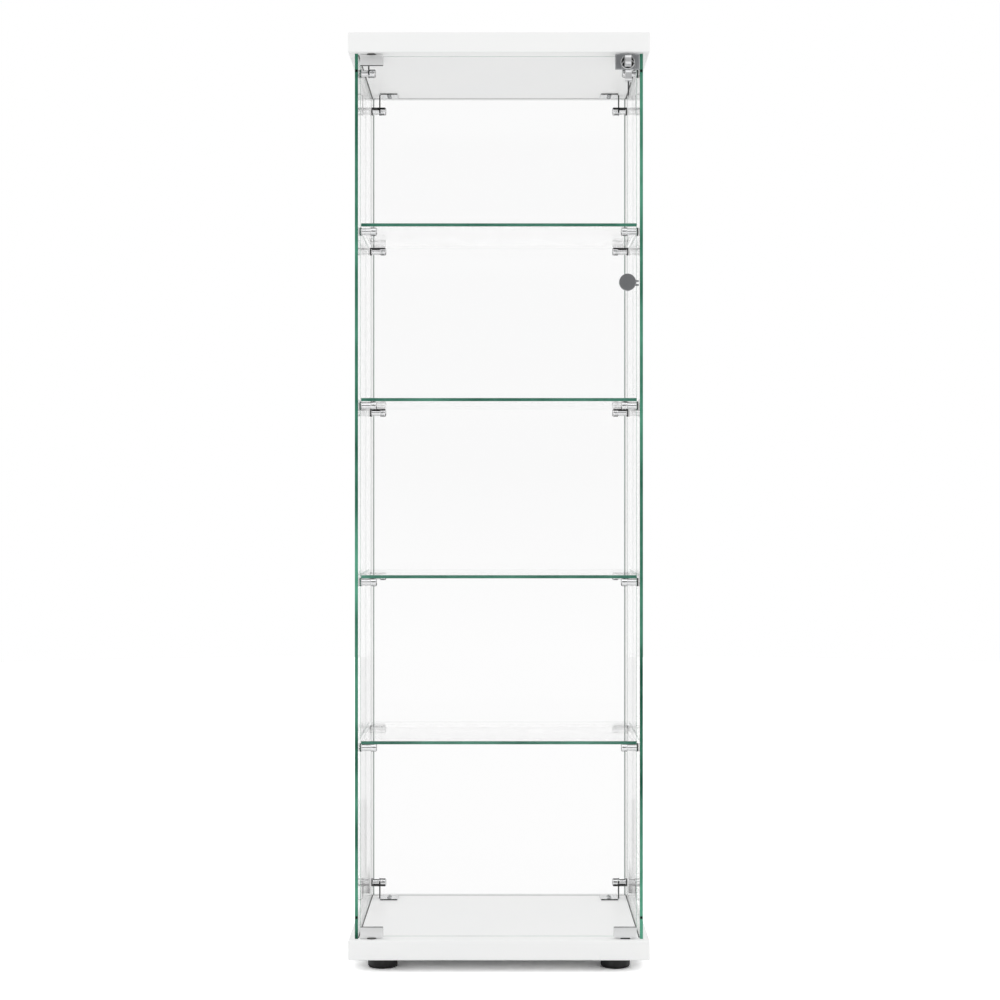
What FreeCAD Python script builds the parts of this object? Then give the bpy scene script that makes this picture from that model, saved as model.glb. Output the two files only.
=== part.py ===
import FreeCAD, Part
import math
import os

# Glass display case: two boards, glass walls, four glass shelves and a hinged, lockable glass door.
# Millimetres. X runs to the right, Y to the back and Z up from the floor under the case's centre.

# Boards
case_width = 425.0
case_depth = 365.0
case_height = 1324.0
board_thickness = 28.0
board_edge_chamfer = 1.2

# Clear heights of the lower four compartments, from the bottom up; the fifth takes what is left
compartment_1_height = 272.3
compartment_2_height = 231.6
compartment_3_height = 247.5
compartment_4_height = 244.0

# Feet
foot_height = 18.0
foot_diameter = 42.7
foot_inset = 46.5

# Glass panels and the grooves that hold them
glass_thickness = 4.5
glass_arris = 0.4
side_overhang = 9.0
front_setback = 12.0
rear_setback = 12.0
groove_depth = 3.0
groove_play = 0.25
groove_top_play = 1.0
back_side_gap = 2.5

# Shelves
shelf_side_gap = 2.8
shelf_depth = 280.0
shelf_sweep_clearance = 3.0
shelf_rest_gap = 0.05

# Turned studs on the side glass: a shank bonded to the glass and a cap on its end
stud_shank_diameter = 9.4
stud_cap_diameter = 11.6
stud_cap_length = 8.7
shelf_stud_shank_length = 15.9
shelf_stud_front_inset = 13.5
shelf_stud_rear_inset = 24.0
bracket_stud_shank_length = 12.4

# Corner brackets
bracket_thickness = 1.8
rear_bracket_foot_length = 29.2
front_bracket_foot_length = 20.0
bracket_foot_width = 34.0
bracket_foot_corner = 2.5
bracket_leg_width = 13.0
bracket_leg_corner = 3.8
rear_bracket_drop = 25.0
front_bracket_drop = 21.0
rear_bracket_gap = 8.5
front_bracket_sweep_clearance = 0.8

# Door, hinge clamps with their pins, and washers
hinge_side_gap = 3.0
lock_side_gap = 4.4
clamp_width = 32.2
clamp_height = 14.5
clamp_wall = 1.5
clamp_chamfer = 0.4
lining_thickness = 0.5
hinge_pin_diameter = 5.0
hinge_pin_clearance = 0.05
pin_hole_depth = 10.0
washer_diameter = 13.0
washer_thickness = 1.5
thrust_gap = 0.3
pin_end_gap = 1.0
magnet_length = 13.0
magnet_gap = 0.3

# Knob and its clip
knob_diameter = 24.0
knob_thickness = 6.0
knob_stem_diameter = 8.0
knob_stem_length = 3.5
knob_inset = 13.4
knob_height = 926.5
clip_thickness = 1.2
clip_height = 7.5
clip_slot_height = 3.4
clip_arm_length = 20.0
clip_edge_gap = 2.2

# Lock
lock_inset = 12.9
lock_drop = 8.9
lock_plate_thickness = 2.5
lock_plate_chamfer = 0.6
lock_plate_top_gap = 1.0
lock_plate_side_gap = 0.4
lock_plate_lap = 4.5
lock_plate_lower_lap = 3.6
lock_housing_lap = 1.0
lock_notch_reach = 13.0
lock_notch_play = 0.4
lock_block_wall = 1.5
lock_housing_depth = 6.0
barrel_diameter = 20.0
barrel_thickness = 3.0
plug_wall = 0.7
plug_recess = 0.2
plug_clearance = 0.05
plug_tail_length = 4.6
cam_length = 16.5
cam_width = 8.0
cam_thickness = 2.2
cam_drive_side = 5.0
mortise_play = 1.9
mortise_end_play = 1.5
mortise_floor_gap = 2.2

# Keys and ring
key_blade_thickness = 2.0
key_blade_height = 6.6
key_blade_length = 20.9
key_neck_length = 0.7
key_tang_depth = 4.0
key_play = 0.12
key_cut_depth = 1.6
key_cut_pitch = 3.0
key_cut_count = 4
key_head_length = 16.0
key_head_width = 14.8
key_head_ring_thickness = 8.3
key_head_blade_thickness = 9.6
key_head_corner = 2.8
key_hole_margin = 3.2
ring_radius = 9.3
ring_wire_diameter = 1.5
ring_wire_sides = 4
ring_play = 0.3

# Clearance of a fixed piece in its hole
fit_clearance = 0.05

# Heights of the boards and shelves
base_under_z = foot_height
base_top_z = base_under_z + board_thickness
compartments = [
    compartment_1_height,
    compartment_2_height,
    compartment_3_height,
    compartment_4_height,
]
shelf_under_z = []
level = base_top_z
for height in compartments:
    level += height
    shelf_under_z.append(level)
    level += glass_thickness
top_under_z = case_height - board_thickness

# Planes of the boards and glass
front_y = -case_depth / 2
back_y = case_depth / 2
side_outer_x = case_width / 2 - side_overhang
side_inner_x = side_outer_x - glass_thickness
glass_front_y = front_y + front_setback
glass_rear_y = back_y - rear_setback
back_front_y = glass_rear_y - glass_thickness
panel_bottom_z = base_top_z - groove_depth
panel_top_z = top_under_z + groove_depth - groove_top_play

# Door and hinge line
door_left_x = -side_inner_x + hinge_side_gap
door_right_x = side_inner_x - lock_side_gap
door_front_y = glass_front_y
door_rear_y = door_front_y + glass_thickness
door_mid_y = (door_front_y + door_rear_y) / 2
hinge_rise = washer_thickness + thrust_gap
door_edge_rise = hinge_rise + clamp_wall + lining_thickness
door_bottom_z = base_top_z + door_edge_rise
door_top_z = top_under_z - door_edge_rise
clamp_depth = glass_thickness + 2 * (lining_thickness + clamp_wall)
hinge_x = door_left_x + clamp_width / 2
catch_x = door_right_x - clamp_width / 2
sweep_radius = math.hypot(clamp_width / 2, clamp_depth / 2)
sweep_rear_y = door_mid_y + sweep_radius
pin_radius = hinge_pin_diameter / 2
pin_hole_radius = pin_radius + hinge_pin_clearance

# Shelves, studs and brackets
shelf_half_width = side_inner_x - shelf_side_gap
shelf_front_y = sweep_rear_y + shelf_sweep_clearance
shelf_rear_y = shelf_front_y + shelf_depth
shelf_stud_drop = max(stud_shank_diameter, stud_cap_diameter) / 2 + shelf_rest_gap
shelf_stud_ys = (shelf_front_y + shelf_stud_front_inset, shelf_rear_y - shelf_stud_rear_inset)
bracket_leg_x = side_inner_x - bracket_stud_shank_length
front_bracket_y = sweep_rear_y + front_bracket_sweep_clearance + bracket_foot_width / 2
rear_bracket_y = back_front_y - rear_bracket_gap - bracket_foot_width / 2
left, right = -1, 1
# Each corner: name, side, board face it stands on, direction away from that board, whether it is a front one
corners = [
    ("rear_top_left", left, top_under_z, -1, False),
    ("rear_top_right", right, top_under_z, -1, False),
    ("rear_bottom_left", left, base_top_z, 1, False),
    ("rear_bottom_right", right, base_top_z, 1, False),
    ("front_top_left", left, top_under_z, -1, True),
    ("front_top_right", right, top_under_z, -1, True),
]

# Lock and keys
lock_x = door_right_x - lock_inset
lock_z = door_top_z - lock_drop
key_slot_half_width = key_blade_thickness / 2 + key_play
key_slot_half_height = key_blade_height / 2 + key_play
plug_radius = math.hypot(key_slot_half_width, key_slot_half_height) + plug_wall
plug_bore_radius = plug_radius + plug_clearance
lock_plate_front_y = door_front_y - lock_plate_thickness
barrel_front_y = lock_plate_front_y - barrel_thickness
plug_front_y = barrel_front_y + plug_recess
housing_rear_y = door_rear_y + lock_housing_depth
cam_front_y = housing_rear_y + plug_tail_length
cam_rear_y = cam_front_y + cam_thickness
block_bottom_z = lock_z - plug_bore_radius - lock_block_wall
notch_left_x = lock_x - lock_notch_reach
notch_bottom_z = block_bottom_z - lock_notch_play
cam_rise = top_under_z - lock_z
mortise_depth = cam_length - cam_rise + mortise_floor_gap
key_slot_depth = key_blade_length - key_neck_length + key_play
key_head_front = -key_hole_margin
key_head_end = key_head_length - key_hole_margin
key_hole_y = plug_front_y - key_neck_length - key_head_end
taper = (key_head_blade_thickness - key_head_ring_thickness) / key_head_length
hole_half_length = (key_head_ring_thickness + 2 * taper * key_hole_margin) / 2
ring_bow = ring_radius - math.sqrt(ring_radius**2 - hole_half_length**2)
ring_slope = math.asin(hole_half_length / ring_radius)
key_hole_radius = ring_bow / 2 + ring_wire_diameter / 2 / math.cos(ring_slope) + ring_play
ring_centre_z = lock_z + ring_bow / 2 - ring_radius
spare_hole_z = ring_centre_z - ring_radius + ring_bow / 2

# How far a cutting shape reaches past the face that it opens
cut_reach = 2.0

X = FreeCAD.Vector(1, 0, 0)
Y = FreeCAD.Vector(0, 1, 0)
Z = FreeCAD.Vector(0, 0, 1)


def block(x_pair, y_pair, z_pair):
    """A box between two values on each axis, given in either order."""
    low = [min(pair) for pair in (x_pair, y_pair, z_pair)]
    size = [abs(pair[1] - pair[0]) for pair in (x_pair, y_pair, z_pair)]
    return Part.makeBox(size[0], size[1], size[2], FreeCAD.Vector(*low))


def turned(profile, origin, axis):
    """A solid of revolution: profile holds (distance along the axis, radius) pairs."""
    across = X if abs(axis.z) > 0.5 else Z
    points = [origin + axis * along + across * radius for along, radius in profile]
    outline = Part.makePolygon(points + points[:1])
    solid = Part.Face(outline).revolve(origin, axis, 360)
    if solid.Volume < 0:
        solid.reverse()
    return solid


def rod(radius, start, stop, origin, axis):
    """A plain cylinder from start to stop along the axis."""
    return turned([(start, 0), (start, radius), (stop, radius), (stop, 0)], origin, axis)


def edges_on(shape, pick):
    """The edges whose two ends and middle all satisfy pick."""
    chosen = []
    for edge in shape.Edges:
        middle = edge.valueAt((edge.FirstParameter + edge.LastParameter) / 2)
        spots = [vertex.Point for vertex in edge.Vertexes] + [middle]
        if all(pick(spot) for spot in spots):
            chosen.append(edge)
    return chosen


def at(value, target):
    """Whether a coordinate lies on a plane."""
    return abs(value - target) < 1e-4


def export(name, solids):
    """Writes one node, a single solid or a group of separate ones."""
    shape = solids[0] if len(solids) == 1 else Part.makeCompound(solids)
    if not shape.isValid():
        raise ValueError(name + " is not a valid shape")
    shape.exportStep("parts/" + name + ".step")


def panel(x_pair, y_pair, z_pair):
    """A sheet of glass with its sharp edges ground off."""
    sheet = block(x_pair, y_pair, z_pair)
    return sheet.makeChamfer(glass_arris, sheet.Edges)


def board(z_pair):
    """A board with softened edges, before its grooves and holes."""
    slab = block((-case_width / 2, case_width / 2), (front_y, back_y), z_pair)
    return slab.makeChamfer(board_edge_chamfer, slab.Edges)


def groove_cutters(face_z, inward):
    """Stopped grooves for the side and back glass, cut into a board from its inner face."""
    z_pair = (face_z - inward * cut_reach, face_z + inward * groove_depth)
    y_pair = (glass_front_y - groove_play, glass_rear_y + groove_play)
    cutters = []
    for side in (left, right):
        x_pair = (side * (side_inner_x - groove_play), side * (side_outer_x + groove_play))
        cutters.append(block(x_pair, y_pair, z_pair))
    half = side_inner_x - back_side_gap + groove_play
    back_pair = (back_front_y - groove_play, glass_rear_y + groove_play)
    cutters.append(block((-half, half), back_pair, z_pair))
    return cutters


def pin_hole_cutter(face_z, inward):
    """The blind hole in which a hinge pin turns."""
    origin = FreeCAD.Vector(hinge_x, door_mid_y, face_z)
    return rod(pin_hole_radius, -cut_reach, pin_hole_depth, origin, Z * inward)


def foot_spots():
    """Centres of the feet on the floor: front left, front right, rear left, rear right."""
    x = case_width / 2 - foot_inset
    y = case_depth / 2 - foot_inset
    return [FreeCAD.Vector(sx * x, sy * y, 0) for sy in (-1, 1) for sx in (left, right)]


def make_boards():
    """Base board and top board, with grooves for the glass, pin holes and the lock's mortise."""
    base = board((base_under_z, base_top_z))
    base = base.cut(groove_cutters(base_top_z, -1) + [pin_hole_cutter(base_top_z, -1)])
    top = board((top_under_z, case_height))
    swing_reach = math.sqrt(cam_length**2 - cam_rise**2)
    mortise_x = (lock_x - swing_reach - mortise_end_play, lock_x + cam_width / 2 + mortise_end_play)
    mortise_y = (cam_front_y - mortise_play, cam_rear_y + mortise_play)
    mortise = block(mortise_x, mortise_y, (top_under_z - cut_reach, top_under_z + mortise_depth))
    top = top.cut(groove_cutters(top_under_z, 1) + [pin_hole_cutter(top_under_z, 1), mortise])
    export("base_board", base.Solids)
    export("top_board", top.Solids)


def make_feet():
    """Four round feet under the base board."""
    export("feet", [rod(foot_diameter / 2, 0, foot_height, spot, Z) for spot in foot_spots()])


def make_glass():
    """The side and back panels and the shelves."""
    z_pair = (panel_bottom_z, panel_top_z)
    for side, name in ((left, "left_glass"), (right, "right_glass")):
        x_pair = (side * side_inner_x, side * side_outer_x)
        export(name, [panel(x_pair, (glass_front_y, glass_rear_y), z_pair)])
    back_half = side_inner_x - back_side_gap
    export("back_glass", [panel((-back_half, back_half), (back_front_y, glass_rear_y), z_pair)])
    half_pair = (-shelf_half_width, shelf_half_width)
    for number, under_z in enumerate(reversed(shelf_under_z), 1):
        shelf_pair = (under_z, under_z + glass_thickness)
        sheet = panel(half_pair, (shelf_front_y, shelf_rear_y), shelf_pair)
        export("shelf_" + str(number) + "_glass", [sheet])


def make_shelf_studs():
    """Sixteen studs bonded to the side glass, four under each shelf."""
    shank_end = shelf_stud_shank_length
    cap_end = shank_end + stud_cap_length
    shanks = []
    caps = []
    for under_z in shelf_under_z:
        for side in (left, right):
            for y in shelf_stud_ys:
                origin = FreeCAD.Vector(side * side_inner_x, y, under_z - shelf_stud_drop)
                shanks.append(rod(stud_shank_diameter / 2, 0, shank_end, origin, X * -side))
                caps.append(rod(stud_cap_diameter / 2, shank_end, cap_end, origin, X * -side))
    export("shelf_stud_shanks", shanks)
    export("shelf_stud_caps", caps)


def make_bracket(side, face_z, away, y, drop, foot_length):
    """An L of sheet metal: a foot on the board and a leg, its end bevelled, gripped by the stud."""
    leg_x = side * bracket_leg_x
    inner_x = leg_x - side * bracket_thickness
    foot_end_x = leg_x - side * foot_length
    foot_face_z = face_z + away * bracket_thickness
    stud_z = face_z + away * drop
    half = bracket_foot_width / 2
    foot = block((leg_x, foot_end_x), (y - half, y + half), (face_z, foot_face_z))
    corner_edges = edges_on(foot, lambda p: at(p.x, foot_end_x) and at(abs(p.y - y), half))
    foot = foot.makeChamfer(bracket_foot_corner, corner_edges)
    leg_half = bracket_leg_width / 2
    leg_end_z = stud_z + away * leg_half
    leg = block((leg_x, inner_x), (y - leg_half, y + leg_half), (face_z, leg_end_z))
    leg_edges = edges_on(leg, lambda p: at(p.z, leg_end_z) and at(abs(p.y - y), leg_half))
    leg = leg.makeChamfer(bracket_leg_corner, leg_edges)
    return foot.fuse(leg).removeSplitter()


def make_brackets():
    """Six corner brackets, each with its leg between the shank and the cap of a stud."""
    cap_start = bracket_stud_shank_length + bracket_thickness
    shanks = []
    caps = []
    for name, side, face_z, away, in_front in corners:
        y = front_bracket_y if in_front else rear_bracket_y
        drop = front_bracket_drop if in_front else rear_bracket_drop
        foot_length = front_bracket_foot_length if in_front else rear_bracket_foot_length
        export(name + "_bracket", make_bracket(side, face_z, away, y, drop, foot_length).Solids)
        origin = FreeCAD.Vector(side * side_inner_x, y, face_z + away * drop)
        shanks.append(rod(stud_shank_diameter / 2, 0, bracket_stud_shank_length, origin, X * -side))
        caps.append(rod(stud_cap_diameter / 2, cap_start, cap_start + stud_cap_length, origin, X * -side))
    export("bracket_stud_shanks", shanks)
    export("bracket_stud_caps", caps)


def make_clamp(centre_x, edge_z, outward):
    """A U channel over one edge of the door, and the soft lining between it and the glass."""
    x_pair = (centre_x - clamp_width / 2, centre_x + clamp_width / 2)
    half_depth = clamp_depth / 2
    half_slot = glass_thickness / 2 + lining_thickness
    lining_z = edge_z + outward * lining_thickness
    web_z = lining_z + outward * clamp_wall
    open_z = web_z - outward * clamp_height
    past_z = open_z - outward * cut_reach
    body = block(x_pair, (door_mid_y - half_depth, door_mid_y + half_depth), (web_z, open_z))
    body = body.makeChamfer(clamp_chamfer, edges_on(body, lambda p: at(p.y, door_mid_y - half_depth)))
    slot_y = (door_mid_y - half_slot, door_mid_y + half_slot)
    body = body.cut(block(x_pair, slot_y, (lining_z, past_z)))
    glass_y = (door_mid_y - glass_thickness / 2, door_mid_y + glass_thickness / 2)
    lining = block(x_pair, slot_y, (lining_z, open_z)).cut(block(x_pair, glass_y, (edge_z, past_z)))
    return body, lining


def make_hinges():
    """Pivot hinges at the door's left corners and the magnet catch at its lower right."""
    plan = [
        ("upper_hinge_clamp", "upper_clamp_lining", door_top_z, top_under_z, 1),
        ("lower_hinge_clamp", "lower_clamp_lining", door_bottom_z, base_top_z, -1),
    ]
    washer_profile = [
        (-washer_thickness, pin_hole_radius),
        (-washer_thickness, washer_diameter / 2),
        (0, washer_diameter / 2),
        (0, pin_hole_radius),
    ]
    washers = []
    for name, lining_name, edge_z, face_z, outward in plan:
        body, lining = make_clamp(hinge_x, edge_z, outward)
        origin = FreeCAD.Vector(hinge_x, door_mid_y, face_z)
        pin_start = -hinge_rise - clamp_wall / 2
        pin = rod(pin_radius, pin_start, pin_hole_depth - pin_end_gap, origin, Z * outward)
        export(name, body.fuse(pin).removeSplitter().Solids)
        export(lining_name, lining.Solids)
        washers.append(turned(washer_profile, origin, Z * outward))
    export("hinge_washers", washers)
    body, lining = make_clamp(catch_x, door_bottom_z, -1)
    export("catch_clamp", body.Solids)
    export("catch_clamp_lining", lining.Solids)
    magnet_x = (catch_x - magnet_length / 2, catch_x + magnet_length / 2)
    magnet_y = (door_mid_y - clamp_depth / 2, door_mid_y + clamp_depth / 2)
    magnet_z = (base_top_z, base_top_z + hinge_rise - magnet_gap)
    export("catch_magnet", [block(magnet_x, magnet_y, magnet_z)])


def make_door_glass():
    """The door sheet, notched at its upper right corner for the lock."""
    sheet = panel((door_left_x, door_right_x), (door_front_y, door_rear_y), (door_bottom_z, door_top_z))
    notch_x = (notch_left_x, door_right_x + cut_reach)
    notch_y = (door_front_y - cut_reach, door_rear_y + cut_reach)
    notch = block(notch_x, notch_y, (notch_bottom_z, door_top_z + cut_reach))
    export("door_glass", sheet.cut(notch).Solids)


def make_knob():
    """A round knob on a sprung clip that grips the door's free edge with two prongs."""
    knob_x = door_right_x - knob_inset
    knob_z = base_top_z + knob_height
    arm_gap = glass_thickness / 2 + lining_thickness
    half_depth = arm_gap + clip_thickness
    arm_x = door_right_x - clip_arm_length
    inner_x = door_right_x + clip_edge_gap
    outer_x = inner_x + clip_thickness
    z_pair = (knob_z - clip_height / 2, knob_z + clip_height / 2)
    clip = block((arm_x, outer_x), (door_mid_y - half_depth, door_mid_y + half_depth), z_pair)
    bend_edges = edges_on(clip, lambda p: at(p.x, outer_x) and at(abs(p.y - door_mid_y), half_depth))
    clip = clip.makeFillet(2 * clip_thickness, bend_edges)
    throat = block((arm_x - cut_reach, inner_x), (door_mid_y - arm_gap, door_mid_y + arm_gap), z_pair)
    prong_gap_x = (door_right_x - clip_edge_gap, outer_x + cut_reach)
    prong_gap_y = (door_mid_y - half_depth - cut_reach, door_mid_y + half_depth + cut_reach)
    half_slot = clip_slot_height / 2
    prong_gap = block(prong_gap_x, prong_gap_y, (knob_z - half_slot, knob_z + half_slot))
    arm_front_y = door_mid_y - half_depth
    knob_origin = FreeCAD.Vector(knob_x, arm_front_y, knob_z)
    export("knob_clip", clip.cut([throat, prong_gap]).Solids)
    radius = knob_diameter / 2
    knob_end = knob_stem_length + knob_thickness
    knob_profile = [
        (0, 0),
        (0, knob_stem_diameter / 2),
        (knob_stem_length, knob_stem_diameter / 2),
        (knob_stem_length, radius),
        (knob_end, radius),
        (knob_end, 0),
    ]
    export("door_knob", [turned(knob_profile, knob_origin, -Y)])
    pads = []
    for step in (-1, 1):
        pad_y = (door_mid_y + step * glass_thickness / 2, door_mid_y + step * arm_gap)
        pads.append(block((arm_x, door_right_x - clip_edge_gap), pad_y, z_pair))
    export("knob_clip_pads", pads)


def make_lock_body():
    """Plate and block in the door's notch, the housing behind the glass, and the barrel in front."""
    axis_origin = FreeCAD.Vector(lock_x, 0, lock_z)
    plate_x = (notch_left_x - lock_plate_lap, side_inner_x - lock_plate_side_gap)
    plate_z = (notch_bottom_z - lock_plate_lower_lap, top_under_z - lock_plate_top_gap)
    plate = block(plate_x, (lock_plate_front_y, door_front_y), plate_z)
    plate = plate.makeChamfer(lock_plate_chamfer, edges_on(plate, lambda p: at(p.y, lock_plate_front_y)))
    core_x = (notch_left_x + lock_notch_play, door_right_x)
    core = block(core_x, (door_front_y, door_rear_y), (block_bottom_z, door_top_z))
    housing_x = (notch_left_x - lock_housing_lap, door_right_x)
    housing_z = (notch_bottom_z - lock_housing_lap, door_top_z)
    housing = block(housing_x, (door_rear_y, housing_rear_y), housing_z)
    housing = housing.makeChamfer(lock_plate_chamfer, edges_on(housing, lambda p: at(p.y, housing_rear_y)))
    bore = rod(plug_bore_radius, barrel_front_y - cut_reach, housing_rear_y + cut_reach, axis_origin, Y)
    export("lock_case", plate.fuse(core).cut(bore).removeSplitter().Solids)
    export("lock_rear_housing", housing.cut(bore).Solids)
    radius = barrel_diameter / 2
    barrel_profile = [
        (barrel_front_y, plug_bore_radius),
        (barrel_front_y, radius),
        (lock_plate_front_y, radius),
        (lock_plate_front_y, plug_bore_radius),
    ]
    export("lock_barrel", [turned(barrel_profile, axis_origin, Y)])


def make_lock_plug():
    """The turning plug with its keyway, and the cam that rises into the top board."""
    axis_origin = FreeCAD.Vector(lock_x, 0, lock_z)
    half_drive = cam_drive_side / 2
    plug = rod(plug_radius, plug_front_y, cam_front_y, axis_origin, Y)
    drive_x = (lock_x - half_drive, lock_x + half_drive)
    drive_z = (lock_z - half_drive, lock_z + half_drive)
    drive = block(drive_x, (cam_front_y, cam_rear_y), drive_z)
    keyway_x = (lock_x - key_slot_half_width, lock_x + key_slot_half_width)
    keyway_z = (lock_z - key_slot_half_height, lock_z + key_slot_half_height)
    keyway = block(keyway_x, (plug_front_y - cut_reach, plug_front_y + key_slot_depth), keyway_z)
    export("lock_plug", plug.fuse(drive).cut(keyway).removeSplitter().Solids)
    half_cam = cam_width / 2
    arm_end_x = lock_x - cam_length + half_cam
    arm = block((arm_end_x, lock_x), (cam_front_y, cam_rear_y), (lock_z - half_cam, lock_z + half_cam))
    tip = rod(half_cam, cam_front_y, cam_rear_y, FreeCAD.Vector(arm_end_x, 0, lock_z), Y)
    heel = rod(half_cam, cam_front_y, cam_rear_y, axis_origin, Y)
    drive_hole_x = (drive_x[0] - fit_clearance, drive_x[1] + fit_clearance)
    drive_hole_z = (drive_z[0] - fit_clearance, drive_z[1] + fit_clearance)
    drive_hole = block(drive_hole_x, (cam_front_y - cut_reach, cam_rear_y + cut_reach), drive_hole_z)
    export("lock_cam", arm.fuse([tip, heel]).cut(drive_hole).removeSplitter().Solids)


def key_pieces():
    """Blade and head of a key whose ring hole is at the origin and whose blade points along Y."""
    half_thick = key_blade_thickness / 2
    half_high = key_blade_height / 2
    tip_y = key_head_end + key_blade_length
    tang_y = key_head_end - key_tang_depth
    blade = block((-half_thick, half_thick), (tang_y, tip_y), (-half_high, half_high))
    tip_edges = edges_on(blade, lambda p: at(p.y, tip_y) and at(abs(p.z), half_high))
    blade = blade.makeChamfer(key_cut_depth, tip_edges)
    cuts = []
    for index in range(key_cut_count):
        cut_y = tip_y - key_cut_depth - (index + 0.5) * key_cut_pitch
        points = [
            FreeCAD.Vector(-half_thick, cut_y - key_cut_depth, half_high),
            FreeCAD.Vector(-half_thick, cut_y + key_cut_depth, half_high),
            FreeCAD.Vector(-half_thick, cut_y, half_high - key_cut_depth),
        ]
        wedge = Part.Face(Part.makePolygon(points + points[:1]))
        cuts.append(wedge.extrude(X * key_blade_thickness))
    blade = blade.cut(cuts)
    half_width = key_head_width / 2
    near = key_head_ring_thickness / 2
    far = key_head_blade_thickness / 2
    points = [
        FreeCAD.Vector(-near, key_head_front, -half_width),
        FreeCAD.Vector(near, key_head_front, -half_width),
        FreeCAD.Vector(far, key_head_end, -half_width),
        FreeCAD.Vector(-far, key_head_end, -half_width),
    ]
    head = Part.Face(Part.makePolygon(points + points[:1])).extrude(Z * key_head_width)
    head = head.makeChamfer(key_head_corner, edges_on(head, lambda p: at(abs(p.z), half_width)))
    ring_hole = rod(key_hole_radius, -far - cut_reach, far + cut_reach, FreeCAD.Vector(0, 0, 0), X)
    slot_x = half_thick + fit_clearance
    slot_z = half_high + fit_clearance
    tang_slot = block((-slot_x, slot_x), (tang_y, key_head_end + cut_reach), (-slot_z, slot_z))
    return blade, head.cut([ring_hole, tang_slot])


def make_keys():
    """A key in the lock, the ring through its head, and a spare hanging from the ring."""
    blade, head = key_pieces()
    in_lock = FreeCAD.Placement(FreeCAD.Vector(lock_x, key_hole_y, lock_z), FreeCAD.Rotation())
    hanging = FreeCAD.Placement(FreeCAD.Vector(lock_x, key_hole_y, spare_hole_z), FreeCAD.Rotation(X, -90))
    for prefix, place in (("", in_lock), ("spare_", hanging)):
        for name, piece in (("key_blade", blade), ("key_head", head)):
            placed = piece.copy()
            placed.Placement = place
            export(prefix + name, placed.Solids)
    ring_centre = FreeCAD.Vector(lock_x, key_hole_y, ring_centre_z)
    wire_profile = []
    for corner in range(ring_wire_sides):
        angle = 2 * math.pi * (corner + 0.5) / ring_wire_sides
        along = ring_wire_diameter / 2 * math.sin(angle)
        wire_profile.append((along, ring_radius + ring_wire_diameter / 2 * math.cos(angle)))
    export("key_ring", [turned(wire_profile, ring_centre, Y)])


def main():
    os.makedirs("parts", exist_ok=True)
    make_boards()
    make_feet()
    make_glass()
    make_shelf_studs()
    make_brackets()
    make_hinges()
    make_door_glass()
    make_knob()
    make_lock_body()
    make_lock_plug()
    make_keys()


main()
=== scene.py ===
# %% [markdown]
# # A glass display case
# The case was drawn first as solids, in millimetres, and packed as a frame of named nodes on moving bodies.
# This lesson dresses that frame: it gives every node a finish, and builds finer pieces where a turned,
# moulded or sheet-metal part deserves more than its plain solid. Nothing in the frame is ever moved.

# %% Load the frame
import math

import bmesh
import bpy
from mathutils import Matrix, Vector


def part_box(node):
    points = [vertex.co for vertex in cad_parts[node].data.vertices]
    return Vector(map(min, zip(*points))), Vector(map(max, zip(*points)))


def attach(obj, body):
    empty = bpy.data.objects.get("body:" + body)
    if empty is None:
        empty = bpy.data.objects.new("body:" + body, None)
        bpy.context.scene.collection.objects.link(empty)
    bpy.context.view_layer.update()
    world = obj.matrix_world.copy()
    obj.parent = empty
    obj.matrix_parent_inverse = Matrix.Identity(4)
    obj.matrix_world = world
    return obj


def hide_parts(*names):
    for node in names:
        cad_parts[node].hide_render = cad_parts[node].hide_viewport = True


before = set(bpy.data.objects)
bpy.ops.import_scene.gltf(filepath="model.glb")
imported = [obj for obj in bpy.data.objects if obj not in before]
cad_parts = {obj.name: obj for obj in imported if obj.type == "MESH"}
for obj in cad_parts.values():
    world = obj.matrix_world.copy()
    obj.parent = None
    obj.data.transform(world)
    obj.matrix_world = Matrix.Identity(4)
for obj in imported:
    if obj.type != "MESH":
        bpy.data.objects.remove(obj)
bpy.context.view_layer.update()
MM = 0.001

# %% [markdown]
# ## Colours and shader nodes
# Finishes are written as the hex values one would pick from a screen. Shaders work in linear light, so one
# function turns hex to linear. A second one adds a shader node, sets it up and links it, so that each
# finish below reads as a short recipe. A Mix node has separate sockets for numbers, vectors and colours, so
# the places of its colour sockets get names.

# %% Colour and node helpers
MIX_FIRST, MIX_SECOND, MIX_COLOUR = 6, 7, 2


def linear(hex_colour):
    """An sRGB hex colour as a linear RGBA tuple, by the sRGB curve: a straight toe, then a power."""
    parts = [int(hex_colour[i:i + 2], 16) / 255 for i in (1, 3, 5)]
    return tuple(c / 12.92 if c <= 0.04045 else ((c + 0.055) / 1.055) ** 2.4 for c in parts) + (1.0,)


def add(tree, kind, inputs=None, **settings):
    """Adds a shader node, applies its settings, and fills its inputs with values or links."""
    made = tree.nodes.new("ShaderNode" + kind)
    for name, value in settings.items():
        setattr(made, name, value)
    for name, value in (inputs or {}).items():
        if isinstance(value, bpy.types.NodeSocket):
            tree.links.new(value, made.inputs[name])
        else:
            made.inputs[name].default_value = value
    return made


def start(name):
    """An empty material and its node tree."""
    made = bpy.data.materials.new(name)
    made.use_nodes = True
    made.node_tree.nodes.clear()
    return made, made.node_tree


print("mid grey in linear light:", [round(c, 3) for c in linear("#808080")])

# %% [markdown]
# ## Melamine-faced board
# The two boards are chipboard with a white melamine skin pressed against a lightly textured steel plate.
# That leaves a satin surface with a fine pebble and a white that is never quite even. Two noises are enough
# for it: one for the pebble, drawn 1.6 mm across so that it shows, and a far larger one for the tint.

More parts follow.
